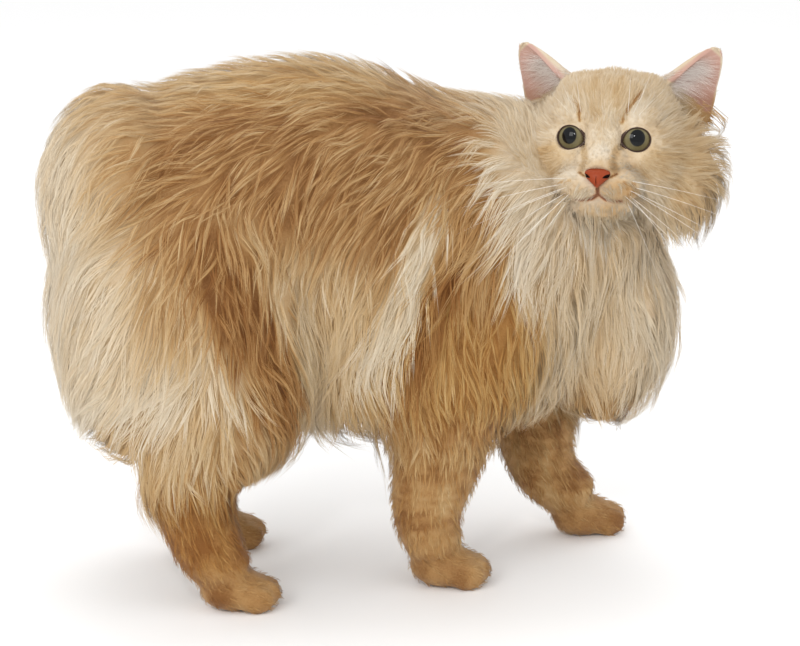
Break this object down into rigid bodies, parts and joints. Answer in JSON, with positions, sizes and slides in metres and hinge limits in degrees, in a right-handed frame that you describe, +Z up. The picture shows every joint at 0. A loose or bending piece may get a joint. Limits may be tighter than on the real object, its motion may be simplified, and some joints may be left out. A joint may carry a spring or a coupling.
{
  "type": "long-haired manx cat",
  "caption": "Life-size still model of a standing long-haired cat with no tail, head turned over its right shoulder, cream and tan coat with ruff, belly hair and breeches.",
  "frame": {"origin": "on the floor, under the middle of the cat's bounding box", "axes": "+X the way the body faces and its longest extent, -Y its right side, +Z up"},
  "size_m": [0.392, 0.2078, 0.3104],
  "materials": {
    "coat_tan": "long soft hair, tan with darker streaks",
    "coat_pale": "long soft hair, cream",
    "ear": "short-haired outside, bare pink inside",
    "nose_leather": "moist, satin",
    "eye": "wet gloss, olive iris and dark pupil"
  },
  "bodies": {
    "root": {"belly": "coat_tan", "chest": "coat_pale", "ear_left": "ear", "ear_right": "ear", "eye_left": "eye", "eye_right": "eye", "foreleg_left": "coat_tan", "foreleg_right": "coat_tan", "forepaw_left": "coat_tan", "forepaw_right": "coat_tan", "head": "coat_pale", "hindleg_left": "coat_tan", "hindleg_right": "coat_tan", "hindpaw_left": "coat_tan", "hindpaw_right": "coat_tan", "neck": "coat_pale", "nose": "nose_leather", "rump": "coat_tan", "thigh_left": "coat_tan", "thigh_right": "coat_tan"}
  },
  "joints": []
}
